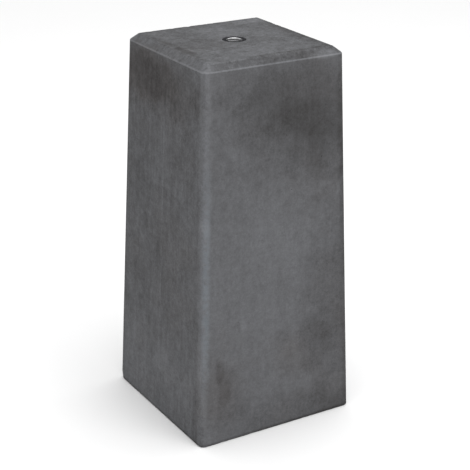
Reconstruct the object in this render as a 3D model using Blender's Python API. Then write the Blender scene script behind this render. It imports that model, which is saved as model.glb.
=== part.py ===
"""Cast concrete pier block with a threaded steel socket set in its top.

The block is one casting: a square body that tapers upwards, with rounded
upright corners and a chamfer round its flat top. The socket is a steel tube
with a closed foot and an inside metric thread. It is cast into the middle of
the top with its mouth just below the concrete, and takes the stud of a post
base. Metres, +Z up, with the origin in the middle of the underside.
"""

import math

import bmesh
import bpy
from mathutils import Matrix, Vector

# Concrete block, measured across its flats.
HEIGHT = 0.450
BASE_WIDTH = 0.210
TOP_WIDTH = 0.180
CORNER_RADIUS = 0.008
CHAMFER_WIDTH = 0.0095
CHAMFER_DROP = 0.0075
TOP_CORNER_RADIUS = 0.0015

# How far each edge of the casting is rounded back along its two faces.
FOOT_EASE = 0.0020
SHOULDER_EASE = 0.0007
TOP_EASE = 0.0010

# Steel socket, measured down from its mouth.
SOCKET_DIAMETER = 0.0269
SOCKET_FLOOR = 0.006
SOCKET_FOOT_CHAMFER = 0.0015
SOCKET_SINK = 0.0004
MOUTH_CHAMFER = 0.0006
THREAD_DIAMETER = 0.020
THREAD_PITCH = 0.0025
THREAD_LENGTH = 0.040
THREAD_LEAD = 0.0008
THREAD_END_ANGLE = math.radians(145)
THREAD_RUNOUT = 0.008
DRILL_POINT_HALF_ANGLE = math.radians(59)

# Metric thread form: flank angle, cut depth and root flat as shares of the pitch.
FLANK_ANGLE = math.radians(30)
THREAD_DEPTH_SHARE = 5 / 8 * math.sqrt(3) / 2
ROOT_FLAT_SHARE = 1 / 8

# Space between the steel and the concrete round it.
FIT_GAP = 0.0003

# The tap's core stays this far inside the bore, and its pocket cutter this far above the top.
TAP_CORE_GAP = 0.0003
CUTTER_OVERRUN = 0.010

CORNER_STEPS = 8
EASE_STEPS = 4
TURN_STEPS = 32
MERGE_DISTANCE = 0.000001
SMOOTH_ANGLE = math.radians(30)

THREAD_RADIUS = THREAD_DIAMETER / 2
BORE_RADIUS = THREAD_RADIUS - THREAD_DEPTH_SHARE * THREAD_PITCH
BORE_DEPTH = THREAD_LEAD + THREAD_LENGTH + THREAD_RUNOUT
DRILL_POINT_DEPTH = BORE_DEPTH + BORE_RADIUS / math.tan(DRILL_POINT_HALF_ANGLE)
SOCKET_LENGTH = DRILL_POINT_DEPTH + SOCKET_FLOOR


def clear_objects():
    """Empties the scene."""
    for thing in list(bpy.data.objects):
        bpy.data.objects.remove(thing, do_unlink=True)


def make_material(name, colour, roughness, metallic):
    """One Principled material in a plain colour."""
    material = bpy.data.materials.new(name)
    material.use_nodes = True
    shader = material.node_tree.nodes["Principled BSDF"]
    shader.inputs["Base Color"].default_value = (*colour, 1)
    shader.inputs["Roughness"].default_value = roughness
    shader.inputs["Metallic"].default_value = metallic
    return material


def make_object(name, bm, material=None):
    """Turns a finished bmesh into an object, round where its faces meet gently."""
    bmesh.ops.recalc_face_normals(bm, faces=bm.faces)
    mesh = bpy.data.meshes.new(name)
    bm.to_mesh(mesh)
    bm.free()
    mesh.shade_smooth()
    mesh.set_sharp_from_angle(angle=SMOOTH_ANGLE)
    if material:
        mesh.materials.append(material)
    thing = bpy.data.objects.new(name, mesh)
    bpy.context.collection.objects.link(thing)
    return thing


def cut(target, cutter):
    """Subtracts a cutter from a piece, and keeps the cutter as a wire guide."""
    cutter.parent = target
    cutter.display_type = "WIRE"
    cutter.hide_render = True
    boolean = target.modifiers.new(cutter.name, "BOOLEAN")
    boolean.operation = "DIFFERENCE"
    boolean.solver = "EXACT"
    boolean.object = cutter


def eased_corner(before, corner, after, length):
    """Points that round one corner of the block's section, tangent to its two sides."""
    start = corner + (before - corner) / (before - corner).xy.length * length
    end = corner + (after - corner) / (after - corner).xy.length * length
    points = []
    for step in range(EASE_STEPS + 1):
        share = step / EASE_STEPS
        points.append(start.lerp(corner, share).lerp(corner.lerp(end, share), share))
    return points


def block_section():
    """The block's levels from underside to top, each as (half width, height, corner radius)."""
    foot = Vector((BASE_WIDTH / 2, 0, CORNER_RADIUS))
    shoulder = Vector((TOP_WIDTH / 2, HEIGHT - CHAMFER_DROP, CORNER_RADIUS))
    rim = Vector((TOP_WIDTH / 2 - CHAMFER_WIDTH, HEIGHT, TOP_CORNER_RADIUS))
    underside = foot - Vector((CORNER_RADIUS, 0, CORNER_RADIUS))
    top_middle = Vector((0, HEIGHT, TOP_CORNER_RADIUS))
    levels = eased_corner(underside, foot, shoulder, FOOT_EASE)
    levels += eased_corner(foot, shoulder, rim, SHOULDER_EASE)
    levels += eased_corner(shoulder, rim, top_middle, TOP_EASE)
    return levels


def add_level(bm, level):
    """One rounded square round the block, as a closed loop of edges."""
    half_width, height, radius = level
    loop = []
    for quarter in range(4):
        turn = Matrix.Rotation(quarter * math.pi / 2, 3, "Z")
        for step in range(CORNER_STEPS + 1):
            angle = step / CORNER_STEPS * math.pi / 2
            reach = half_width - radius
            point = Vector((reach + radius * math.cos(angle), reach + radius * math.sin(angle), height))
            loop.append(bm.verts.new(turn @ point))
    return [bm.edges.new((loop[i - 1], loop[i])) for i in range(len(loop))]


def make_block(material):
    """The casting: its levels skinned from underside to top, and a pocket for the socket."""
    bm = bmesh.new()
    loops = [add_level(bm, level) for level in block_section()]
    for lower, upper in zip(loops, loops[1:]):
        bmesh.ops.bridge_loops(bm, edges=lower + upper)
    bmesh.ops.contextual_create(bm, geom=loops[0])
    bmesh.ops.contextual_create(bm, geom=loops[-1])
    block = make_object("concrete_block", bm, material)

    depth = SOCKET_SINK + SOCKET_LENGTH + FIT_GAP + CUTTER_OVERRUN
    radius = SOCKET_DIAMETER / 2 + FIT_GAP
    bm = bmesh.new()
    bmesh.ops.create_cone(
        bm, cap_ends=True, segments=TURN_STEPS, radius1=radius, radius2=radius, depth=depth,
        matrix=Matrix.Rotation(math.pi / 2, 4, "Z"),
    )
    pocket = make_object("socket_pocket", bm)
    pocket.location.z = HEIGHT + CUTTER_OVERRUN - depth / 2
    cut(block, pocket)
    return block


def make_tap():
    """The thread's cutter: one ridge as wide as its pitch, wound up the bore."""
    core = BORE_RADIUS - TAP_CORE_GAP
    middle = THREAD_PITCH / 2
    ridge_top = ROOT_FLAT_SHARE * THREAD_PITCH / 2
    ridge_foot = ridge_top + (THREAD_RADIUS - core) * math.tan(FLANK_ANGLE)
    section = [
        (core, 0), (core, middle - ridge_foot), (THREAD_RADIUS, middle - ridge_top),
        (THREAD_RADIUS, middle + ridge_top), (core, middle + ridge_foot), (core, THREAD_PITCH),
    ]
    bm = bmesh.new()
    points = [bm.verts.new((x, 0, z)) for x, z in section]
    edges = [bm.edges.new(pair) for pair in zip(points, points[1:])]
    turns = round(THREAD_LENGTH / THREAD_PITCH) - 1
    bmesh.ops.spin(
        bm, geom=points + edges, axis=(0, 0, 1), cent=(0, 0, 0), angle=2 * math.pi * turns,
        steps=TURN_STEPS * turns, dvec=(0, 0, THREAD_PITCH / TURN_STEPS),
    )
    bmesh.ops.remove_doubles(bm, verts=bm.verts, dist=MERGE_DISTANCE)
    close_winding(bm)
    height = (turns + 1) * THREAD_PITCH
    bmesh.ops.translate(bm, verts=bm.verts, vec=(0, 0, -THREAD_LEAD - height))
    bmesh.ops.rotate(
        bm, verts=bm.verts, cent=(0, 0, 0), matrix=Matrix.Rotation(THREAD_END_ANGLE, 3, "Z"),
    )
    return make_object("thread_tap", bm)


def close_winding(bm):
    """Closes both stepped ends of a wound ridge, each with a fan about a point on its axis."""
    ends = [edge for edge in bm.edges if edge.is_boundary]
    middle = sum(vert.co.z for vert in bm.verts) / len(bm.verts)
    for sign in (-1, 1):
        rim = [edge for edge in ends if (edge.verts[0].co.z - middle) * sign > 0]
        level = sum(edge.verts[0].co.z for edge in rim) / len(rim)
        pole = bm.verts.new((0, 0, level))
        for edge in rim:
            bm.faces.new((*edge.verts, pole))


def make_socket(material):
    """The steel socket: a turned blank with a drilled bore, then tapped from its mouth."""
    outer = SOCKET_DIAMETER / 2
    section = [
        (0, -SOCKET_LENGTH), (outer - SOCKET_FOOT_CHAMFER, -SOCKET_LENGTH),
        (outer, SOCKET_FOOT_CHAMFER - SOCKET_LENGTH), (outer, 0),
        (BORE_RADIUS + MOUTH_CHAMFER, 0), (BORE_RADIUS, -MOUTH_CHAMFER),
        (BORE_RADIUS, -BORE_DEPTH), (0, -DRILL_POINT_DEPTH),
    ]
    bm = bmesh.new()
    points = [bm.verts.new((x, 0, z)) for x, z in section]
    edges = [bm.edges.new(pair) for pair in zip(points, points[1:])]
    bmesh.ops.spin(
        bm, geom=points + edges, axis=(0, 0, 1), cent=(0, 0, 0), angle=2 * math.pi,
        steps=TURN_STEPS, use_merge=True,
    )
    bmesh.ops.remove_doubles(bm, verts=bm.verts, dist=MERGE_DISTANCE)
    socket = make_object("threaded_socket", bm, material)
    cut(socket, make_tap())
    socket.location.z = HEIGHT - SOCKET_SINK
    return socket


def main():
    clear_objects()
    concrete = make_material("anthracite_concrete", (0.095, 0.096, 0.102), 0.75, 0)
    steel = make_material("socket_steel", (0.42, 0.42, 0.43), 0.35, 1)
    pier = bpy.data.objects.new("pier_block", None)
    bpy.context.collection.objects.link(pier)
    for piece in (make_block(concrete), make_socket(steel)):
        piece.parent = pier


main()
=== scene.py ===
# %% [markdown]
# # Dressing a cast concrete pier block
#
# A pier block carries the post of a deck, shed or carport. This one is a single casting of anthracite
# concrete, square and slightly tapered, with a chamfer round its flat top. A steel socket is cast into the
# middle of the top, and the stud of a post base screws into it.
#
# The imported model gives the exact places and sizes. This lesson adds what a mould and a few years of
# handling leave on such a block: a surface that is not quite flat, air pores, worn edges, stains and bloom.

# %% Load the frame
import math
import random

import bmesh
import bpy
from mathutils import Matrix, Vector, noise


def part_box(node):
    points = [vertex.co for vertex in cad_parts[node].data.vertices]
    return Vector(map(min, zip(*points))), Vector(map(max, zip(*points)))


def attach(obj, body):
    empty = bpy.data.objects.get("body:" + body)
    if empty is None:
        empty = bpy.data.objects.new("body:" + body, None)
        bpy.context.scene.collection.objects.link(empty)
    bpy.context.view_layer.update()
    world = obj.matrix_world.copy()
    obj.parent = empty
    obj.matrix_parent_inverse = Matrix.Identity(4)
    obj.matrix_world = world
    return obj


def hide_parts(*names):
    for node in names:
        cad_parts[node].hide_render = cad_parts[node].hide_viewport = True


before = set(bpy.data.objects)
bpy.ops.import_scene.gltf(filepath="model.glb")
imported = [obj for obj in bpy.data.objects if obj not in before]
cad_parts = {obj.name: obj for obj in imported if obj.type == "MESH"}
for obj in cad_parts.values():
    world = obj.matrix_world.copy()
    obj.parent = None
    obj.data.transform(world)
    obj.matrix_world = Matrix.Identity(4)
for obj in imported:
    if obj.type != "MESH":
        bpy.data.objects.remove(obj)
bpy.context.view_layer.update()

print("packed nodes:", ", ".join(sorted(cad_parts)))

# %% [markdown]
# ## The sizes that the looks need
#
# The block's height and the socket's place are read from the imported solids. The other sizes are those that
# the mould was made to: the width at the foot, the width where the chamfer starts, and the chamfer itself.

# %% Sizes of the casting and the socket
MM = 0.001
BASE_WIDTH = 210 * MM
TOP_WIDTH = 180 * MM
CORNER_RADIUS = 8 * MM
CHAMFER_WIDTH = 9.5 * MM
CHAMFER_DROP = 7.5 * MM
TOP_CORNER_RADIUS = 1.5 * MM
FOOT_EASE = 2 * MM
SHOULDER_EASE = 0.9 * MM
TOP_EASE = 1.2 * MM

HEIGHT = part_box("concrete_block")[1].z
SHOULDER = HEIGHT - CHAMFER_DROP
TAPER = (BASE_WIDTH - TOP_WIDTH) / 2 / SHOULDER

socket_low, socket_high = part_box("threaded_socket")
SOCKET_RADIUS = socket_high.x
MOUTH = socket_high.z
SOCKET_LENGTH = socket_high.z - socket_low.z
FIT_GAP = 0.3 * MM
print(f"block {HEIGHT / MM:.1f} mm high, socket mouth at {MOUTH / MM:.1f} mm")
print(f"socket {2 * SOCKET_RADIUS / MM:.1f} mm wide, {SOCKET_LENGTH / MM:.1f} mm long")

# %% [markdown]
# ## The camera
#
# The photograph looks down on one upright corner from about 22 degrees, with a long lens, so the sides
# converge only a little. The camera's place comes from fitting the block's outline, and its small roll too.
# Building the rotation from three directions keeps the roll plain to read.

# %% Place the camera
CAMERA_TARGET = Vector((-0.0169, -0.0323, 0.225))
CAMERA_DISTANCE = 1.585
CAMERA_AZIMUTH = math.radians(-31.22)
CAMERA_ELEVATION = math.radians(22.09)
CAMERA_ROLL = math.radians(0.36)
CAMERA_LENS_MM = 103.65


def place_camera():
    """A camera that looks at the block's front corner, rolled a little."""
    flat = math.cos(CAMERA_ELEVATION)
    back = Vector((
        math.sin(CAMERA_AZIMUTH) * flat, -math.cos(CAMERA_AZIMUTH) * flat, math.sin(CAMERA_ELEVATION),
    ))
    right = Vector((0, 0, 1)).cross(back).normalized()
    up = back.cross(right)
    turn = Matrix((right, up, back)).transposed() @ Matrix.Rotation(CAMERA_ROLL, 3, "Z")
    data = bpy.data.cameras.new("photo_camera")
    data.lens = CAMERA_LENS_MM
    camera = bpy.data.objects.new("photo_camera", data)
    camera.matrix_world = Matrix.Translation(CAMERA_TARGET + back * CAMERA_DISTANCE) @ turn.to_4x4()
    bpy.context.collection.objects.link(camera)
    bpy.context.scene.camera = camera
    return camera


camera = place_camera()
print("camera at", [round(value, 3) for value in camera.matrix_world.translation])

# %% [markdown]
# ## A class that lets shader maths read like sums
#
# A finish is worked out by nodes, and long chains of Math nodes are hard to read in code. So one small
# class wraps an output socket. Adding or multiplying two of them adds the Math node that does it, and one
# method adds any other node. Numbers that never change are still worked out in Python.

# %% The Field class
class Field:
    """One output of a shader node, to reckon with as if it were a number."""

    def __init__(self, socket):
        self.socket = socket

    def node(self, kind, settings=None, inputs=None, output=0):
        """Adds a node to the same material: its settings first, then its sockets."""
        made = self.socket.id_data.nodes.new(kind)
        for name, value in (settings or {}).items():
            setattr(made, name, value)
        for name, value in (inputs or {}).items():
            plug(made.inputs[name], value)
        return Field(made.outputs[output])

    def math(self, operation, *values):
        """A Math node on this field and any further values."""
        return self.node("ShaderNodeMath", {"operation": operation}, dict(enumerate((self, *values))))

    def __add__(self, other):
        return self.math("ADD", other)

    def __sub__(self, other):
        return self.math("SUBTRACT", other)

    def __rsub__(self, other):
        return (self * -1).math("ADD", other)

    def __mul__(self, other):
        return self.math("MULTIPLY", other)

    def __abs__(self):
        return self.math("ABSOLUTE")

    __radd__ = __add__
    __rmul__ = __mul__

    def larger(self, other):
        """The larger of two fields at each point."""
        return self.math("MAXIMUM", other)

    def step(self, start, end):
        """Rises smoothly from 0 at start to 1 at end, also where end is the lower one."""
        return self.node(
            "ShaderNodeMapRange", {"interpolation_type": "SMOOTHSTEP"},
            {"Value": self, "From Min": start, "From Max": end},
        )

    def part(self, axis):
        """The X, Y or Z of a vector."""
        return self.node("ShaderNodeSeparateXYZ", None, {0: self}, axis)

    def stretched(self, x, y, z):
        """A vector with each of its parts multiplied."""
        return self.node("ShaderNodeVectorMath", {"operation": "MULTIPLY"}, {0: self, 1: (x, y, z)})

    def moved(self, x, y, z):
        """A vector with a fixed one added."""
        return self.node("ShaderNodeVectorMath", {"operation": "ADD"}, {0: self, 1: (x, y, z)})

    def grain(self, size, detail=2, roughness=0.5):
        """Cloudy noise whose lumps are about this size in metres, near 0 to 1."""
        return self.node("ShaderNodeTexNoise", None, {
            "Vector": self, "Scale": 1 / size, "Detail": detail, "Roughness": roughness,
        })

    def swing(self, size, detail=2, roughness=0.5):
        """The same noise, moved down by a half so that it swings round 0."""
        return self.grain(size, detail, roughness) - 0.5


def plug(socket, value):
    """Links a field to a socket, or sets the socket's own value."""
    if isinstance(value, Field):
        socket.id_data.links.new(value.socket, socket)
    elif hasattr(socket.default_value, "__len__") and len(socket.default_value) == 4 and len(value) == 3:
        socket.default_value = (*value, 1)
    else:
        socket.default_value = value


# The Mix node has sockets for each kind of data. These are the places of its colour ones.
MIX_COLOURS = (6, 7)
MIX_RESULT = 2


def mixed(share, colour, other):
    """Blends two colours by a field."""
    first, second = MIX_COLOURS
    return share.node(
        "ShaderNodeMix", {"data_type": "RGBA"}, {0: share, first: colour, second: other}, MIX_RESULT,
    )


def new_finish(name):
    """A material with its shader and a field that holds the point in the object's own metres."""
    material = bpy.data.materials.new(name)
    material.use_nodes = True
    tree = material.node_tree
    point = Field(tree.nodes.new("ShaderNodeTexCoord").outputs["Object"])
    return material, tree.nodes["Principled BSDF"], point


print("fields are ready")

# %% [markdown]
# ## Floor and light
#
# The block stands on a plain, nearly white floor in soft studio light. The world gives even light from all
# round, and the floor throws light back up on both sides. A softbox overhead makes the top the lightest
# face, and a low one in front lights the right side a little more than the left.

# %% Floor and lamps
FLOOR_SIZE = 200
FLOOR_TONES = [(0.90, 0.90, 0.90), (0.92, 0.92, 0.92)]
FLOOR_MOTTLE = (0.4, 3)
FLOOR_ROUGHNESS = 0.9
FLOOR_SHINE = 0.1
WORLD_LIGHT = 0.955
WHITE = (1, 1, 1, 1)

# Each softbox is a name, a power in watts, a width in metres and a place.
SOFTBOXES = [
    ("side_softbox", 25, 1.6, Vector((0.9, -2.3, 0.9))),
    ("top_softbox", 18, 1.5, Vector((0.15, -0.1, 2.4))),
]


def aim(thing, place, target):
    """Puts a lamp somewhere and points it at a target."""
    thing.location = place
    thing.rotation_euler = (target - place).to_track_quat("-Z", "Y").to_euler()


def as_object(bm, name):
    """A plain object from a bmesh, with its faces pointing outwards."""
    bmesh.ops.recalc_face_normals(bm, faces=bm.faces)
    mesh = bpy.data.meshes.new(name)
    bm.to_mesh(mesh)
    bm.free()
    thing = bpy.data.objects.new(name, mesh)
    bpy.context.collection.objects.link(thing)
    return thing


def make_floor():
    """A wide plane in matt, nearly white paint."""
    bm = bmesh.new()
    bmesh.ops.create_grid(bm, x_segments=1, y_segments=1, size=FLOOR_SIZE / 2)
    floor = as_object(bm, "studio_floor")
    material, shader, point = new_finish("floor_paint")
    plug(shader.inputs["Base Color"], mixed(point.grain(*FLOOR_MOTTLE), *FLOOR_TONES))
    plug(shader.inputs["Roughness"], FLOOR_ROUGHNESS)
    plug(shader.inputs["Specular IOR Level"], FLOOR_SHINE)
    floor.data.materials.append(material)


def light_scene():
    """Even light all round and the softboxes."""
    world = bpy.data.worlds.new("studio_light")
    world.use_nodes = True
    background = world.node_tree.nodes["Background"]
    background.inputs["Strength"].default_value = WORLD_LIGHT
    background.inputs["Color"].default_value = WHITE
    bpy.context.scene.world = world
    for name, power, size, place in SOFTBOXES:
        data = bpy.data.lights.new(name, "AREA")
        data.energy = power
        data.size = size
        lamp = bpy.data.objects.new(name, data)
        bpy.context.collection.objects.link(lamp)
        aim(lamp, place, Vector((0, 0, HEIGHT / 2)))


make_floor()
light_scene()
bpy.context.scene.view_settings.view_transform = "Standard"
print("floor and light are set")

# %% [markdown]
# ## The casting as levels
#
# The block could be a cube with bevelled edges. But its upright corners are round while the corners of its
# flat top are nearly sharp, and one bevel can't do both. So the form is skinned over levels, from the
# underside to the top. Each level is a square whose corners are rounded by a vertex bevel, and neighbouring
# levels are bridged. Where two faces meet, a few close levels follow a curve, so the edge is eased.

# %% Levels of the casting
CORNER_STEPS = 8
EASE_STEPS = 5
ROUND_PROFILE = 0.5
SIDE_SEGMENTS = 80
HEIGHT_CUTS = 176
CHAMFER_CUTS = 4


def eased_corner(before, corner, after, length):
    """Levels that round one corner of the section, tangent to its two sides."""
    start = corner + (before - corner) / (before - corner).xy.length * length
    end = corner + (after - corner) / (after - corner).xy.length * length
    curve = []
    for index in range(EASE_STEPS + 1):
        share = index / EASE_STEPS
        curve.append(start.lerp(corner, share).lerp(corner.lerp(end, share), share))
    return curve


foot = Vector((BASE_WIDTH / 2, 0, CORNER_RADIUS))
shoulder = Vector((TOP_WIDTH / 2, SHOULDER, CORNER_RADIUS))
rim = Vector((TOP_WIDTH / 2 - CHAMFER_WIDTH, HEIGHT, TOP_CORNER_RADIUS))
underside = foot - Vector((CORNER_RADIUS, 0, CORNER_RADIUS))
top_middle = Vector((0, HEIGHT, TOP_CORNER_RADIUS))
foot_levels = eased_corner(underside, foot, shoulder, FOOT_EASE)
shoulder_levels = eased_corner(foot, shoulder, rim, SHOULDER_EASE)
rim_levels = eased_corner(shoulder, rim, top_middle, TOP_EASE)


def add_level(bm, level):
    """One level as a closed loop of edges, cut finely along its four straight sides."""
    half_width, height, radius = level
    before = set(bm.edges)
    square = bmesh.ops.create_circle(
        bm, segments=4, radius=half_width * math.sqrt(2),
        matrix=Matrix.Translation((0, 0, height)) @ Matrix.Rotation(math.pi / 4, 4, "Z"),
    )
    bmesh.ops.bevel(
        bm, geom=square["verts"], offset=radius, segments=CORNER_STEPS, profile=ROUND_PROFILE,
        affect="VERTICES", material=-1, clamp_overlap=False,
    )
    added = [edge for edge in bm.edges if edge not in before]
    straight = sorted(added, key=lambda edge: edge.calc_length())[-4:]
    bmesh.ops.subdivide_edges(bm, edges=straight, cuts=SIDE_SEGMENTS - 1)
    return [edge for edge in bm.edges if edge not in before]


def skin(bm, loops):
    """Bridges neighbouring loops, and gives the edges that run from loop to loop."""
    runs = []
    for lower, upper in zip(loops, loops[1:]):
        made = bmesh.ops.bridge_loops(bm, edges=lower + upper)
        runs.append(made["edges"])
    return runs


def cast_sides(bm):
    """The sides and the chamfer, from the eased foot to the eased rim of the flat top."""
    foot_loops, shoulder_loops, rim_loops = (
        [add_level(bm, level) for level in levels] for levels in (foot_levels, shoulder_levels, rim_levels)
    )
    skin(bm, foot_loops)
    skin(bm, shoulder_loops)
    skin(bm, rim_loops)
    (side_runs,) = skin(bm, [foot_loops[-1], shoulder_loops[0]])
    (chamfer_runs,) = skin(bm, [shoulder_loops[-1], rim_loops[0]])
    bmesh.ops.subdivide_edges(bm, edges=side_runs, cuts=HEIGHT_CUTS)
    bmesh.ops.subdivide_edges(bm, edges=chamfer_runs, cuts=CHAMFER_CUTS)
    return foot_loops[0], rim_loops[-1]


block = bmesh.new()
foot_loop, rim_loop = cast_sides(block)
print("sides and chamfer:", len(block.faces), "faces")

# %% [markdown]
# ## Underside, flat top and pocket
#
# Both flat ends are closed by a square grid, which is easy to shape later. The rounded corners have to
# meet the grid's sharp ones, so the end loop is extruded and each new vertex is held within the grid's
# square: those of a round corner all land on one point and merge there. The pocket for the socket starts as
# a square hole in the top grid. Its border is extruded, drawn onto a circle and then carried down.

# %% Close the casting
POCKET_CELLS = 9
POCKET_LIP = 0.5 * MM
POCKET_SPOKE_CUTS = 2
MERGE_DISTANCE = 0.01 * MM


def carried(bm, loop, place):
    """Extrudes a loop of edges, puts each new vertex where `place` says, and gives the new loop."""
    made = bmesh.ops.extrude_edge_only(bm, edges=loop)["geom"]
    verts = {item for item in made if isinstance(item, bmesh.types.BMVert)}
    for vert in verts:
        vert.co = place(vert.co)
    return [edge for edge in bm.edges if edge.verts[0] in verts and edge.verts[1] in verts]


def close_end(bm, loop, level):
    """Closes an end of the casting with a square grid, and gives the grid's half width."""
    half = level.x - level.z

    def held(co):
        return Vector((max(-half, min(half, co.x)), max(-half, min(half, co.y)), co.z))

    carried(bm, loop, held)
    bmesh.ops.create_grid(
        bm, x_segments=SIDE_SEGMENTS, y_segments=SIDE_SEGMENTS, size=half,
        matrix=Matrix.Translation((0, 0, level.y)),
    )
    bmesh.ops.remove_doubles(bm, verts=bm.verts, dist=MERGE_DISTANCE)
    return half


def sink_pocket(bm, grid_half):
    """The round pocket for the socket, from a square hole in the top grid."""
    reach = grid_half * 2 / SIDE_SEGMENTS * POCKET_CELLS
    hole = [
        face for face in bm.faces
        if max(abs(face.calc_center_median().x), abs(face.calc_center_median().y)) < reach
        and face.calc_center_median().z > SHOULDER
    ]
    bmesh.ops.delete(bm, geom=hole, context="FACES")
    border = [edge for edge in bm.edges if edge.is_boundary]
    pocket = SOCKET_RADIUS + FIT_GAP

    def ring(radius, height):
        return lambda co: (co.xy.normalized() * radius).to_3d() + Vector((0, 0, height))

    mouth = carried(bm, border, ring(pocket + POCKET_LIP, HEIGHT))
    spokes = {edge for part in mouth for vert in part.verts for edge in vert.link_edges} - set(mouth)
    bmesh.ops.subdivide_edges(bm, edges=list(spokes), cuts=POCKET_SPOKE_CUTS)
    lip = carried(bm, mouth, ring(pocket, HEIGHT - POCKET_LIP))
    low = carried(bm, lip, ring(pocket, MOUTH - SOCKET_LENGTH - FIT_GAP))
    bmesh.ops.contextual_create(bm, geom=low)


close_end(block, foot_loop, foot_levels[0])
sink_pocket(block, close_end(block, rim_loop, rim_levels[-1]))
bmesh.ops.recalc_face_normals(block, faces=block.faces)
open_edges = sum(edge.is_boundary for edge in block.edges)
print("closed casting:", len(block.faces), "faces,", open_edges, "open edges")

# %% [markdown]
# ## A surface from a mould
#
# Mould boards bow a little and the mix settles, so a cast side is never quite flat. The waves are only a
# few tenths of a millimetre deep, but a long highlight shows them. Edges suffer more: the arrises are
# nibbled where the block was lifted and stacked, and one foot corner is knocked round. This could be
# sculpted by hand, but a noise and the distance to each edge tell every vertex how far to move, and the
# amounts stay easy to tune. Every move goes inwards, so the block never outgrows its mould.

# %% Waves and nibbled edges
WAVES = [(120 * MM, 0.20 * MM), (38 * MM, 0.09 * MM), (11 * MM, 0.04 * MM)]
FLAT_WAVE_SHARE = 0.4
NIBBLE_SIZE = 6 * MM
NIBBLE_DEPTH = 0.9 * MM
NIBBLE_START = 0.22
NIBBLE_REACH = 2.2 * MM
FLAT_TOLERANCE = 0.3 * MM
SOCKET_CLEAR = 2 * MM
SOCKET_CALM = 12 * MM
KNOCKED_CORNER = Vector((-BASE_WIDTH / 2, BASE_WIDTH / 2, 0))
KNOCK_REACH = 14 * MM
KNOCK_DEPTH = 3.5 * MM


def half_width(z):
    """Half the block's width across its flats at a height, which is a number or a field."""
    return BASE_WIDTH / 2 - z * TAPER


def edge_closeness(point):
    """1 on the shoulder, rim, foot and hip edges, falling to 0 a little way from them."""
    sideways, outwards = sorted((abs(point.x), abs(point.y)))
    distances = [abs(point.z - SHOULDER), abs(point.z)]
    if point.z > SHOULDER:
        distances.append(math.hypot(point.z - HEIGHT, outwards - rim.x))
        distances.append(outwards - sideways)
    if outwards < half_width(point.z) - NIBBLE_REACH and point.z < SHOULDER:
        return 0
    return max(0, 1 - min(distances) / NIBBLE_REACH)


def wave_depth(point):
    """How far the mould's waves sink a point, from 0 to the sum of the waves."""
    depth = 0
    for size, amount in WAVES:
        depth += amount * (1 + noise.noise(point / size)) / 2
    return depth


def knock_depth(point):
    """How far the knocked foot corner is rounded off."""
    away = (point - KNOCKED_CORNER).length / KNOCK_REACH
    return KNOCK_DEPTH * max(0, 1 - away) ** 2


def weather(bm):
    """Sinks the surface by its waves, and its edges by small nibbles and one knock."""
    bm.normal_update()
    moves = []
    for vert in bm.verts:
        share = 1
        if min(abs(vert.co.z), abs(vert.co.z - HEIGHT)) < FLAT_TOLERANCE:
            share = FLAT_WAVE_SHARE
        if vert.co.z > SHOULDER or vert.co.xy.length < SOCKET_CALM:
            share *= max(0, min(1, (vert.co.xy.length - SOCKET_RADIUS - SOCKET_CLEAR) / SOCKET_CALM))
        depth = share * wave_depth(vert.co)
        bite = noise.noise(vert.co / NIBBLE_SIZE) - NIBBLE_START
        depth += max(0, bite) * NIBBLE_DEPTH * edge_closeness(vert.co) / (1 - NIBBLE_START)
        moves.append((vert, vert.normal * -(depth + knock_depth(vert.co))))
    for vert, move in moves:
        vert.co += move


weather(block)
print("waves sink the sides by up to", round(sum(amount for size, amount in WAVES) / MM, 2), "mm")

# %% [markdown]
# ## Air pores
#
# Bubbles that cling to the mould leave small round pits. Each pit starts from one vertex of the mesh: a
# vertex bevel opens it to a small ring, and two insets with a depth sink the ring to a bowl. The places are
# random, but the seed is fixed, so they are the same in every run.

# %% Sink the pores
PORE_SEED = 11
PORE_KINDS = [(0.40 * MM, 150), (0.60 * MM, 70), (0.85 * MM, 22)]
PORE_RING_STEPS = 2
PORE_SPACING = 6 * MM
PORE_EDGE_MARGIN = 5 * MM
PORE_CORNER_MARGIN = 2 * PORE_EDGE_MARGIN
PORE_SOCKET_MARGIN = 2 * PORE_SPACING
PORE_TOP_BAND = MM

# The two insets of a pore, as shares of its radius: how far each goes in and how far it goes down.
PORE_BOWL = [(0.18, 0.45), (0.30, 0.40)]


def pore_places(bm, chooser):
    """Vertices on the sides and top that are far enough from every edge and from each other."""
    fit = []
    for vert in bm.verts:
        sideways, outwards = sorted((abs(vert.co.x), abs(vert.co.y)))
        side = sideways < half_width(vert.co.z) - PORE_CORNER_MARGIN
        side = side and PORE_EDGE_MARGIN < vert.co.z < SHOULDER - PORE_EDGE_MARGIN
        top = vert.co.z > HEIGHT - PORE_TOP_BAND and outwards < rim.x - PORE_EDGE_MARGIN
        clear = vert.co.xy.length > SOCKET_RADIUS + PORE_SOCKET_MARGIN
        if clear and (side or top):
            fit.append(vert)
    chooser.shuffle(fit)
    chosen = []
    for vert in fit:
        if all((vert.co - other.co).length > PORE_SPACING for other in chosen):
            chosen.append(vert)
        if len(chosen) == sum(count for radius, count in PORE_KINDS):
            break
    return chosen


def sink_pores(bm, places):
    """Opens each place to a ring and sinks it to a bowl."""
    for radius, count in PORE_KINDS:
        batch, places = places[:count], places[count:]
        opened = bmesh.ops.bevel(
            bm, geom=batch, offset=radius, segments=PORE_RING_STEPS, profile=ROUND_PROFILE,
            affect="VERTICES", material=-1, clamp_overlap=False,
        )
        for thickness, depth in PORE_BOWL:
            bmesh.ops.inset_individual(
                bm, faces=opened["faces"], thickness=radius * thickness, depth=-radius * depth,
            )


places = pore_places(block, random.Random(PORE_SEED))
sink_pores(block, places)
print(len(places), "pores,", len(block.faces), "faces in all")

# %% Turn a bmesh into a piece
SMOOTH_ANGLE = math.radians(40)


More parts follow.
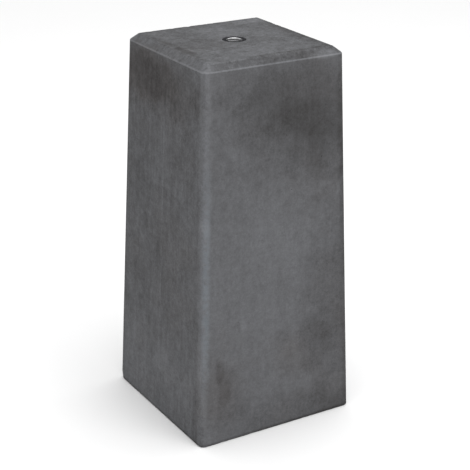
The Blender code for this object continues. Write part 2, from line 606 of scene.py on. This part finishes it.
def make_piece(bm, name, material):
    """A finished object, shaded smooth except across its sharp edges."""
    piece = as_object(bm, name)
    mesh = piece.data
    mesh.shade_smooth()
    mesh.set_sharp_from_angle(angle=SMOOTH_ANGLE)
    mesh.materials.append(material)
    print(name, "has", sum(len(polygon.vertices) - 2 for polygon in mesh.polygons), "triangles")
    return piece


# %% [markdown]
# ## The concrete's grain
#
# Anthracite concrete is grey cement coloured with iron oxide. Close up it is never one tone: sand grains
# and pigment make fine specks, and water that moved in the fresh mix leaves soft clouds as wide as a hand.
# One noise can't give both, so several are added, each with its own size and share. The noise reads the
# point in metres, so the pattern keeps its scale on every side. As in the photograph, the top is rougher
# than the sides, and the side at -Y is calmer than the one at -X. A fade, here and below, is a pair: where
# something starts to show, and where it is full.

# %% Tone and grain of the concrete
DARK_CONCRETE = (0.030, 0.029, 0.029)
PALE_CONCRETE = (0.170, 0.174, 0.186)
PLAIN_TONE = 0.40
NOISE_SPREAD = 0.11
GRAIN_DETAIL = 1
GRAINS = [(1.5 * MM, 0.028), (3 * MM, 0.036), (7 * MM, 0.032), (16 * MM, 0.022), (70 * MM, 0.028)]
STREAK_SIZE = 5 * MM
STREAK_STRETCH = 0.08
STREAK_AMOUNT = 0.032
TOP_ROUGHER = 0.5
BOARD_SMOOTHER = 0.35
RUNS_FAINTER = 0.6
STAIN_CALMER = 0.4
FLAT_TOP = (HEIGHT - 2 * MM, HEIGHT)
SMOOTH_BOARD_FADE = (2 * MM, MM)
DARK_STAIN_FADE = (-0.12, -0.30)


def grainy(point, stain):
    """How far the grains and the faint runs down the sides move the tone, up or down."""
    z = point.part("Z")
    smooth_board = (point.part("Y") + half_width(z)).step(*SMOOTH_BOARD_FADE)
    runs = point.stretched(1, 1, STREAK_STRETCH).swing(STREAK_SIZE)
    grains = 0
    for size, amount in GRAINS:
        grains = point.swing(size, GRAIN_DETAIL) * (amount / NOISE_SPREAD) + grains
    grains = grains * (1 + z.step(*FLAT_TOP) * TOP_ROUGHER - smooth_board * BOARD_SMOOTHER)
    total = grains + runs * (1 - smooth_board * RUNS_FAINTER) * (STREAK_AMOUNT / NOISE_SPREAD)
    return total * (1 - stain.step(*DARK_STAIN_FADE) * STAIN_CALMER)


print(len(GRAINS), "grains, from", GRAINS[0][0] / MM, "to", GRAINS[-1][0] / MM, "mm")

# %% [markdown]
# ## Stains and bloom
#
# Where the mix was wet or oily the concrete is darker and browner, and where lime came out it is paler.
# Such areas could be painted on an image, but that needs the surface unfolded, and it blurs close up. So
# each is a soft oval with an uneven outline, reckoned from the point. Those on the two front sides and the
# top lie where the real block has them, but one thin dark strip along the front rim of the top is painted
# shade on the rim's rounding. The hidden sides get a few of the same kind.

# %% Stains, bloom and one painted shade as soft ovals
RIPPLE_NOISE = (26 * MM, 3)
RIPPLE = 0.9
OVAL_EDGE = 1.2
OVAL_CORE = 0.35

# Each oval has its middle and its reach in millimetres, how far it moves the tone, and how warm it is.
OVALS = [
    # Side at -X, seen on the left.
    ((-91, 38, 412), (30, 70, 32), -0.14, 1.0),
    ((-91, 8, 410), (30, 122, 45), -0.17, 0.4),
    ((-93, -93, 270), (9, 9, 9), 0.14, -0.2),
    ((-98, 0, 235), (30, 130, 150), -0.07, 0.1),
    ((-102, 0, 70), (30, 26, 20), 0.05, 0.0),
    ((-103, 10, 30), (30, 140, 76), 0.07, 0.0),
    ((-105, -88, 26), (8, 9, 50), -0.12, 0.0),
    # Side at -Y, seen on the right.
    ((34, -92, 376), (56, 30, 28), -0.11, 0.0),
    ((-36, -91, 410), (52, 30, 18), -0.05, 0.0),
    ((46, -91, 382), (124, 30, 92), -0.23, 0.1),
    ((72, -94, 306), (48, 30, 66), -0.06, 0.0),
    ((86, -91, 424), (20, 30, 26), 0.10, 0.0),
    ((-30, -93, 346), (44, 30, 22), 0.07, -0.1),
    ((-40, -97, 215), (80, 30, 90), 0.04, -0.3),
    ((88, -99, 120), (56, 30, 190), -0.14, 0.15),
    ((34, -101, 92), (44, 30, 42), -0.09, 0.25),
    ((50, -103, 14), (110, 30, 36), -0.12, 0.1),
    ((-78, -103, 58), (40, 30, 50), -0.12, 0.2),
    ((-46, -101, 142), (7, 30, 8), 0.12, 0.0),
    ((-78, -102, 92), (7, 30, 20), -0.12, 0.2),
    ((-72, -102, 68), (10, 30, 24), -0.10, 0.2),
    ((86, -103, 34), (24, 30, 20), 0.07, 0.0),
    # Flat top.
    ((22, 34, 450), (50, 36, 30), 0.10, -0.3),
    ((-44, 6, 450), (34, 50, 30), -0.11, 0.0),
    ((-76, -8, 450), (7, 96, 4), -0.14, 0.1),
    ((-75, -24, 450), (6, 28, 4), -0.10, 0.0),
    ((64, 70, 450), (26, 15, 30), 0.21, -0.1),
    ((76, -10, 450), (14, 60, 30), -0.16, 0.2),
    ((56, -60, 450), (34, 26, 30), 0.05, -0.2),
    ((-6, -66, 450), (84, 13, 5), 0.07, -0.1),
    # Painted shade on the rounding of the front rim, not a stain.
    ((22, -78, 450), (62, 4.5, 4), -0.15, 0.1),
    ((66, -88, 445), (22, 8, 8), 0.34, 0.0),
    # Hidden sides at +X and +Y.
    ((94, -20, 330), (30, 66, 70), -0.10, 0.4),
    ((98, 30, 120), (30, 90, 90), 0.04, -0.1),
    ((10, 96, 300), (80, 30, 70), -0.09, 0.3),
    ((-40, 100, 90), (70, 30, 60), -0.06, 0.4),
]


def oval(point, middle, reach, ripple):
    """1 in the middle of a soft oval, 0 outside it."""
    away = point.moved(*(-value * MM for value in middle)).stretched(*(1 / (value * MM) for value in reach))
    distance = away.node("ShaderNodeVectorMath", {"operation": "LENGTH"}, {0: away}, "Value")
    return (distance + ripple).step(OVAL_EDGE, OVAL_CORE)


def stains_and_shade(point):
    """How far all ovals together move the tone, and how warm they make it."""
    ripple = point.swing(*RIPPLE_NOISE) * RIPPLE
    tone = warmth = 0
    for middle, reach, amount, warm in OVALS:
        area = oval(point, middle, reach, ripple)
        tone = area * amount + tone
        warmth = area * warm + warmth
    return tone, warmth


print(len(OVALS), "ovals of stain and bloom")

# %% [markdown]
# ## Worn edges, handled corners and painted light
#
# Edges lose their dark cement skin first, so a pale line follows the shoulder and the rim of the flat top,
# and the shoulder line also carries a painted highlight. The front hip is a painted highlight. The front
# corner is pale and a little blue, partly from wear and chalk and partly as a painted highlight. The
# chamfer's face at -X is painted lighter and the one at -Y darker, as painted light and shade. The other
# upright corners, the foot and the rim at the back are made darker. Such marks could be painted on an image,
# but they follow the form, so each is reckoned from the distance to its edge. A noise breaks most of them
# up, so that no line is even.

# %% Wear and painted light round the chamfer
NICK_SIZE = 5 * MM
# The pale shoulder line is worn edge with a painted highlight on it.
SHOULDER_WEAR_AND_HIGHLIGHT = 0.38
SHOULDER_LINE_FADE = (1.1 * MM, 0.4 * MM)
SHOULDER_LINE_BREAKS = 0.3
LEFT_SIDE = (-88 * MM, -90 * MM)
LEFT_LINE_DROP = 0.5 * MM
LEFT_LINE_STRONGER = 0.25
RIM_LINE = 0.15
RIM_LINE_FADE = (1.8 * MM, 0.2 * MM)
# A painted highlight along the front hip of the chamfer.
HIP_PAINTED_HIGHLIGHT = 0.24
HIP_FADE = (14 * MM, 2 * MM)
HIP_FRONT = (-140 * MM, -150 * MM)
HIP_NEAR_RIM = (14 * MM, 6 * MM)
HIP_BREAKS = 0.4
ABOVE_SHOULDER = (SHOULDER - MM, SHOULDER + MM)
CHAMFER_FOOT = (SHOULDER, SHOULDER + MM)
CHAMFER_HEAD = (HEIGHT - 0.6 * MM, HEIGHT - 1.6 * MM)
PAST_RIM = (-rim.x, -rim.x - MM)
# Painted light on the chamfer's face at -X and painted shade on its face at -Y, standing in for how the
# light falls on them.
LEFT_CHAMFER_PAINTED_LIGHT = 0.11
RIGHT_CHAMFER_PAINTED_SHADE = -0.07
RIGHT_CHAMFER_FADE = (8 * MM, 3 * MM)
BACK_RIM_DARK = -0.18
BACK_RIM_FADE = (rim.x - 6.5 * MM, rim.x - 4 * MM)


def broken(nicks, share):
    """1 where there are nicks and less elsewhere, by a share that says how broken a mark is."""
    return nicks * share + (1 - share)


def chamfer_marks(x, y, z, nicks):
    """The shoulder line of wear and painted highlight, the pale rim, the front hip's painted highlight,
    painted light and shade on the chamfer's two front faces, and a darker back rim.
    """
    to_rim = abs(abs(x).larger(abs(y)) - rim.x)
    on_flat = z.step(*FLAT_TOP)
    on_chamfer = z.step(*CHAMFER_FOOT) * z.step(*CHAMFER_HEAD)
    on_left = x.step(*LEFT_SIDE)
    from_line = abs(SHOULDER - z - on_left * LEFT_LINE_DROP)
    # Worn shoulder edge, with a painted highlight.
    shoulder_line = from_line.step(*SHOULDER_LINE_FADE) * broken(nicks, SHOULDER_LINE_BREAKS)
    shoulder_line = shoulder_line * (on_left * LEFT_LINE_STRONGER + 1)
    rim_line = to_rim.step(*RIM_LINE_FADE) * on_flat * nicks
    # Painted highlight on the front hip.
    hip_highlight = abs(x - y).step(*HIP_FADE) * (x + y).step(*HIP_FRONT)
    hip_highlight = hip_highlight * to_rim.step(*HIP_NEAR_RIM) * z.step(*ABOVE_SHOULDER) * broken(nicks, HIP_BREAKS)
    # Painted light on the chamfer at -X, painted shade on the chamfer at -Y.
    left = x.step(*PAST_RIM) * on_chamfer * nicks
    right = y.step(*PAST_RIM) * on_chamfer * to_rim.step(*RIGHT_CHAMFER_FADE)
    back_rim = x.larger(y).step(*BACK_RIM_FADE) * on_flat * nicks
    marks = shoulder_line * SHOULDER_WEAR_AND_HIGHLIGHT + rim_line * RIM_LINE + hip_highlight * HIP_PAINTED_HIGHLIGHT
    return marks + left * LEFT_CHAMFER_PAINTED_LIGHT + right * RIGHT_CHAMFER_PAINTED_SHADE + back_rim * BACK_RIM_DARK


# %% Wear, a painted highlight and darkening along the upright corners and the foot
BELOW_SHOULDER = (SHOULDER + MM, SHOULDER - MM)
FRONT_QUARTER = (-60 * MM, -120 * MM)
# The front corner is pale from wear and from a painted highlight.
FRONT_CORNER_WEAR_AND_HIGHLIGHT = 0.27
PALE_LEFT_FADE = (-14 * MM, -2 * MM)
PALE_RIGHT_FADE = (12 * MM, 0)
PALE_RISE = (-40 * MM, 110 * MM)
BACK_CORNER_DARK = -0.15
BACK_CORNER_FADE = (14 * MM, 4 * MM)
BACK_CORNER_BREAKS = 0.3
FOOT_DARK = -0.26
FOOT_FADE = (6 * MM, MM)
FOOT_BREAKS = 0.4


def corner_marks(x, y, z, nicks):
    """A front corner pale from wear and a painted highlight, three slightly darker ones and a darker foot.
    """
    to_corner = (half_width(z) - abs(x)).larger(half_width(z) - abs(y))
    below = z.step(*BELOW_SHOULDER)
    front = (x + y).step(*FRONT_QUARTER)
    # Wear and a painted highlight on the front corner.
    worn_and_lit = (x - y).step(*PALE_LEFT_FADE) * (x - y).step(*PALE_RIGHT_FADE)
    worn_and_lit = worn_and_lit * below * front * z.step(*PALE_RISE)
    darker_corners = to_corner.step(*BACK_CORNER_FADE) * below * (1 - front) * broken(nicks, BACK_CORNER_BREAKS)
    darker_foot = z.step(*FOOT_FADE) * broken(nicks, FOOT_BREAKS)
    return worn_and_lit * FRONT_CORNER_WEAR_AND_HIGHLIGHT + darker_corners * BACK_CORNER_DARK + darker_foot * FOOT_DARK


# %% The chalk and the painted bluish highlight on the front corner
# A bluish tint on the front corner that is partly chalk and partly a painted highlight.
CHALK_AND_HIGHLIGHT_BLUE = (0.15, 0.19, 0.22)
CHALK_AND_HIGHLIGHT_SHARE = 0.22
CHALK_AND_HIGHLIGHT_OFFSET = 3 * MM
CHALK_AND_HIGHLIGHT_FADE = (9 * MM, MM)
CHALK_AND_HIGHLIGHT_FOOT = (20 * MM, 120 * MM)
CHALK_AND_HIGHLIGHT_HEAD = (410 * MM, 200 * MM)


def chalk_and_highlight(x, y, z, nicks):
    """How far the front corner leans to blue, as chalk and as a painted highlight.
    It is most so between a quarter and half of its height.
    """
    line = abs(x - y - CHALK_AND_HIGHLIGHT_OFFSET).step(*CHALK_AND_HIGHLIGHT_FADE) * (x + y).step(*FRONT_QUARTER)
    return line * z.step(*CHALK_AND_HIGHLIGHT_FOOT) * z.step(*CHALK_AND_HIGHLIGHT_HEAD) * nicks * CHALK_AND_HIGHLIGHT_SHARE


# %% The collar round the socket and the seam down the left side
COLLAR_PALE = 0.07
COLLAR_FADE = (21 * MM, 15 * MM)
SEAM_PALE = 0.13
SEAM_LEAN = 0.015
SEAM_FADE = (3 * MM, 0.5 * MM)
SEAM_HEAD = (385 * MM, 365 * MM)
SEAM_FOOT = (80 * MM, 100 * MM)
LEFT_BOARD_FADE = (3 * MM, MM)


def from_axis(x, y):
    """The distance from the block's upright axis."""
    return (x * x + y * y).math("SQRT")


def collar_and_seam(x, y, z, nicks):
    """A pale ring round the socket, and the thin line where two mould boards met."""
    collar = from_axis(x, y).step(*COLLAR_FADE) * z.step(SHOULDER, HEIGHT)
    on_left = (x + half_width(z)).step(*LEFT_BOARD_FADE)
    seam = abs(y + (z - HEIGHT / 2) * SEAM_LEAN).step(*SEAM_FADE) * on_left
    seam = seam * z.step(*SEAM_HEAD) * z.step(*SEAM_FOOT)
    return (collar * COLLAR_PALE + seam * SEAM_PALE) * nicks


# %% [markdown]
# ## The concrete's finish as a whole
#
# The tone decides the colour, between nearly black and mid grey. Chalk and a painted bluish highlight lean
# the front corner a little towards blue, and warmth leans the stains towards brown, as oil and damp soil do.
# The surface stays matt all over, and a bump in two sizes stands for the fine pits and sand that are too
# small to model.

# %% Put the concrete's finish together
NICK_RANGE = (0.25, 0.6)
WARM_DARK = (0.031, 0.0284, 0.0285)
WARM_PALE = (0.176, 0.171, 0.172)
WARM_CLOUD = 60 * MM
WARM_RANGE = (-0.1, 1.0)
MATT = 0.72
MATT_CLOUD = (12 * MM, 3)
MATT_SWING = 0.3
CONCRETE_SHINE = 0.15

# The noises of the fine relief, as size, detail and roughness, and how deep each goes.
COARSE_PITS = (4 * MM, 3, 0.6)
COARSE_RELIEF = 0.10 * MM
FINE_PITS = (1.1 * MM, 2, 0.5)
FINE_RELIEF = 0.04 * MM
RELIEF_STRENGTH = 0.5
RELIEF_UNIT = 1.0


def concrete_finish():
    """Grain, stains, worn edges and painted light and shade in one tone,
    with a matt and finely rough surface.
    """
    material, shader, point = new_finish("anthracite_concrete")
    x, y, z = (point.part(axis) for axis in "XYZ")
    nicks = point.grain(NICK_SIZE).step(*NICK_RANGE)
    stain, warmth = stains_and_shade(point)
    tone = PLAIN_TONE + stain + grainy(point, stain)
    for marks in (chamfer_marks, corner_marks, collar_and_seam):
        tone = tone + marks(x, y, z, nicks)
    warmth = (warmth + point.swing(WARM_CLOUD)).step(*WARM_RANGE)
    cool = mixed(chalk_and_highlight(x, y, z, nicks), mixed(tone, DARK_CONCRETE, PALE_CONCRETE), CHALK_AND_HIGHLIGHT_BLUE)
    plug(shader.inputs["Base Color"], mixed(warmth, cool, mixed(tone, WARM_DARK, WARM_PALE)))
    plug(shader.inputs["Roughness"], MATT + point.swing(*MATT_CLOUD) * MATT_SWING)
    plug(shader.inputs["Specular IOR Level"], CONCRETE_SHINE)
    relief = point.swing(*COARSE_PITS) * COARSE_RELIEF + point.swing(*FINE_PITS) * FINE_RELIEF
    bump = relief.node("ShaderNodeBump", None, {
        "Strength": RELIEF_STRENGTH, "Distance": RELIEF_UNIT, "Height": relief,
    })
    plug(shader.inputs["Normal"], bump)
    return material


# %% Place the casting
casting = make_piece(block, "weathered_casting", concrete_finish())
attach(casting, "root")
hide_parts("concrete_block")

# %% [markdown]
# ## The steel socket, turned and drilled
#
# A socket like this is cut from bar on a lathe, drilled, tapped and then held to the mould while the
# concrete is poured. The blank is therefore one profile spun round its axis. It could be a cylinder with a
# hole, but the spin gives the countersunk mouth, the drill's point and the bevelled foot in one go.

# %% Turn the blank
TURN_STEPS = 96
THREAD_RADIUS = 10 * MM
PITCH = 2.5 * MM
FLANK_ANGLE = math.radians(30)
THREAD_DEPTH_SHARE = 5 / 8 * math.sqrt(3) / 2
ROOT_FLAT_SHARE = 1 / 8
BORE_RADIUS = THREAD_RADIUS - THREAD_DEPTH_SHARE * PITCH
MOUTH_CHAMFER = 0.6 * MM
RIM_EASE = 0.3 * MM
RIM_EASE_MIDDLE = 0.3 * RIM_EASE
FOOT_CHAMFER = 1.5 * MM
THREAD_LEAD = 0.8 * MM
THREAD_LENGTH = 40 * MM
THREAD_RUNOUT = 8 * MM
DRILL_ANGLE = math.radians(59)
BORE_DEPTH = THREAD_LEAD + THREAD_LENGTH + THREAD_RUNOUT
POINT_DEPTH = BORE_DEPTH + BORE_RADIUS / math.tan(DRILL_ANGLE)
STEEL_MERGE_DISTANCE = MERGE_DISTANCE / 10


def spun(bm, profile, angle, steps, rise=0):
    """Spins a profile of (radius, height) points round the axis; with a rise it becomes a screw."""
    points = [bm.verts.new((radius, 0, height)) for radius, height in profile]
    edges = [bm.edges.new(pair) for pair in zip(points, points[1:])]
    bmesh.ops.spin(
        bm, geom=points + edges, axis=(0, 0, 1), cent=(0, 0, 0), angle=angle, steps=steps,
        dvec=(0, 0, rise / steps), use_merge=not rise,
    )
    bmesh.ops.remove_doubles(bm, verts=bm.verts, dist=STEEL_MERGE_DISTANCE)


def turn_blank():
    """The socket before it is tapped, with its mouth at height 0."""
    bm = bmesh.new()
    spun(bm, [
        (0, -SOCKET_LENGTH), (SOCKET_RADIUS - FOOT_CHAMFER, -SOCKET_LENGTH),
        (SOCKET_RADIUS, FOOT_CHAMFER - SOCKET_LENGTH), (SOCKET_RADIUS, -RIM_EASE),
        (SOCKET_RADIUS - RIM_EASE_MIDDLE, -RIM_EASE_MIDDLE), (SOCKET_RADIUS - RIM_EASE, 0),
        (BORE_RADIUS + MOUTH_CHAMFER, 0), (BORE_RADIUS, -MOUTH_CHAMFER),
        (BORE_RADIUS, -BORE_DEPTH), (0, -POINT_DEPTH),
    ], 2 * math.pi, TURN_STEPS)
    return bm


blank = turn_blank()
print("blank:", len(blank.faces), "faces,", round(SOCKET_LENGTH / MM, 1), "mm long")

# %% [markdown]
# ## Tapping the thread
#
# A real tap is a screw whose ridge cuts the thread. The same is done here: a ridge one pitch high is wound
# up with a spin that also rises, both ends are closed by a fan, and a Boolean takes it out of the blank. A
# Screw modifier would do as well, but the spin keeps the lead, the end angle and the hand in plain sight.

# %% Wind the tap
TAP_CORE_GAP = 0.3 * MM
TAP_CORE = BORE_RADIUS - TAP_CORE_GAP
THREAD_END_ANGLE = math.radians(145)
THREAD_TURNS = round(THREAD_LENGTH / PITCH) - 1


def close_winding(bm):
    """Closes both stepped ends of the wound ridge, each with a fan about a point on its axis."""
    ends = [edge for edge in bm.edges if edge.is_boundary]
    middle = sum(vert.co.z for vert in bm.verts) / len(bm.verts)
    for sign in (-1, 1):
        border = [edge for edge in ends if (edge.verts[0].co.z - middle) * sign > 0]
        level = sum(edge.verts[0].co.z for edge in border) / len(border)
        pole = bm.verts.new((0, 0, level))
        for edge in border:
            bm.faces.new((*edge.verts, pole))


def wind_tap():
    """The thread's cutter, from the last full turn up to the lead-in at the mouth."""
    ridge_top = ROOT_FLAT_SHARE * PITCH / 2
    ridge_foot = ridge_top + (THREAD_RADIUS - TAP_CORE) * math.tan(FLANK_ANGLE)
    bm = bmesh.new()
    spun(bm, [
        (TAP_CORE, 0), (TAP_CORE, PITCH / 2 - ridge_foot), (THREAD_RADIUS, PITCH / 2 - ridge_top),
        (THREAD_RADIUS, PITCH / 2 + ridge_top), (TAP_CORE, PITCH / 2 + ridge_foot), (TAP_CORE, PITCH),
    ], 2 * math.pi * THREAD_TURNS, TURN_STEPS * THREAD_TURNS, rise=PITCH * THREAD_TURNS)
    close_winding(bm)
    bmesh.ops.translate(bm, verts=bm.verts, vec=(0, 0, -THREAD_LEAD - (THREAD_TURNS + 1) * PITCH))
    turn = Matrix.Rotation(THREAD_END_ANGLE, 3, "Z")
    bmesh.ops.rotate(bm, verts=bm.verts, cent=(0, 0, 0), matrix=turn)
    return bm


def tapped(blank, tap):
    """Takes the tap out of the blank, lifts it to its place, and gives the result as a bmesh."""
    body = as_object(blank, "socket_blank")
    cutter = as_object(tap, "thread_tap")
    boolean = body.modifiers.new("tap", "BOOLEAN")
    boolean.operation = "DIFFERENCE"
    boolean.solver = "EXACT"
    boolean.object = cutter
    result = bmesh.new()
    result.from_object(body, bpy.context.evaluated_depsgraph_get())
    for thing in (body, cutter):
        bpy.data.objects.remove(thing, do_unlink=True)
    bmesh.ops.remove_doubles(result, verts=result.verts, dist=STEEL_MERGE_DISTANCE)
    bmesh.ops.translate(result, verts=result.verts, vec=(0, 0, MOUTH))
    return result


tapped_socket = tapped(blank, wind_tap())
print("tapped socket:", len(tapped_socket.faces), "faces,", THREAD_TURNS, "turns of thread")

# %% [markdown]
# ## The steel's finish
#
# The rim and the countersink took the scale and cement of the casting, so they are nearly black and dull.
# The thread was tapped clean afterwards, so it is bare steel with fine rings from the tool. The two facing
# sides of its wall that lie along the camera's line of view are painted brighter, as a painted highlight,
# and its root is painted darker, as painted shade. This could be two materials, but the border between them
# is ragged. So it is one, told apart by the distance from the axis and the depth below the mouth.

# %% The steel's finish
BRIGHT_STEEL = (0.86, 0.86, 0.87)
BLACK_SCALE = (0.016, 0.016, 0.018)
BLOTCH_NOISE = (2 * MM, 3)
BLOTCH_SHADE = 0.3
BORDER_RAGGED = 0.4 * MM
WALL_FADE = (BORE_RADIUS + 0.42 * MM, BORE_RADIUS + 0.25 * MM)
THREAD_START = (MM, 2 * MM)
THREAD_FADE = (THREAD_RADIUS + 0.3 * MM, THREAD_RADIUS + 0.2 * MM)
# A painted highlight on the two sides of the wall that lie along the camera's line of view.
PAINTED_GLEAM_ANGLE = math.radians(59)
PAINTED_GLEAM_WIDTH = 14.5 * MM
PAINTED_GLEAM_FADE = (PAINTED_GLEAM_WIDTH / 2 + MM, PAINTED_GLEAM_WIDTH / 2 - MM)
OUTSIDE_PAINTED_GLEAM = 0.25
# Painted shade in the root of the thread.
ROOT_FADE = (BORE_RADIUS + 0.7 * MM, BORE_RADIUS + 1.1 * MM)
ROOT_SHADE = 0.7
TOOL_RINGS = (0.12 * MM, 1)
RING_STRETCH = 0.05
RING_ROUGHNESS = 0.1
SCALE_ROUGHNESS = 0.85
BARE_SMOOTHER = 0.52
BARE_METALLIC = 0.8
STEEL_SHINE = 0.08


def steel_finish():
    """Dull black outside, on the rim and in the countersink, bright on the thread,
    with a painted highlight along the line of view and painted shade in the thread's root.
    """
    material, shader, point = new_finish("socket_steel")
    x, y, z = (point.part(axis) for axis in "XYZ")
    radius = from_axis(x, y)
    depth = MOUTH - z
    blotch = point.swing(*BLOTCH_NOISE)
    wall = (radius + blotch * BORDER_RAGGED).step(*WALL_FADE)
    thread = depth.step(*THREAD_START) * radius.step(*THREAD_FADE)
    bare = wall.larger(thread)
    # Painted highlight on the wall along the line of view.
    across = abs(x * math.sin(PAINTED_GLEAM_ANGLE) - y * math.cos(PAINTED_GLEAM_ANGLE))
    painted_gleam = across.step(*PAINTED_GLEAM_FADE)
    # Painted shade in the thread's root, with a little mottling.
    shade = 1 - radius.step(*ROOT_FADE) * ROOT_SHADE + blotch * BLOTCH_SHADE
    bare_and_painted_light = bare * (painted_gleam * (1 - OUTSIDE_PAINTED_GLEAM) + OUTSIDE_PAINTED_GLEAM) * shade
    rings = point.stretched(RING_STRETCH, RING_STRETCH, 1).swing(*TOOL_RINGS)
    plug(shader.inputs["Base Color"], mixed(bare_and_painted_light, BLACK_SCALE, BRIGHT_STEEL))
    plug(shader.inputs["Metallic"], bare * BARE_METALLIC)
    plug(shader.inputs["Roughness"], SCALE_ROUGHNESS - bare * BARE_SMOOTHER + rings * RING_ROUGHNESS)
    plug(shader.inputs["Specular IOR Level"], STEEL_SHINE)
    return material


# %% Place the socket
socket = make_piece(tapped_socket, "tapped_steel_socket", steel_finish())
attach(socket, "root")
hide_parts("threaded_socket")
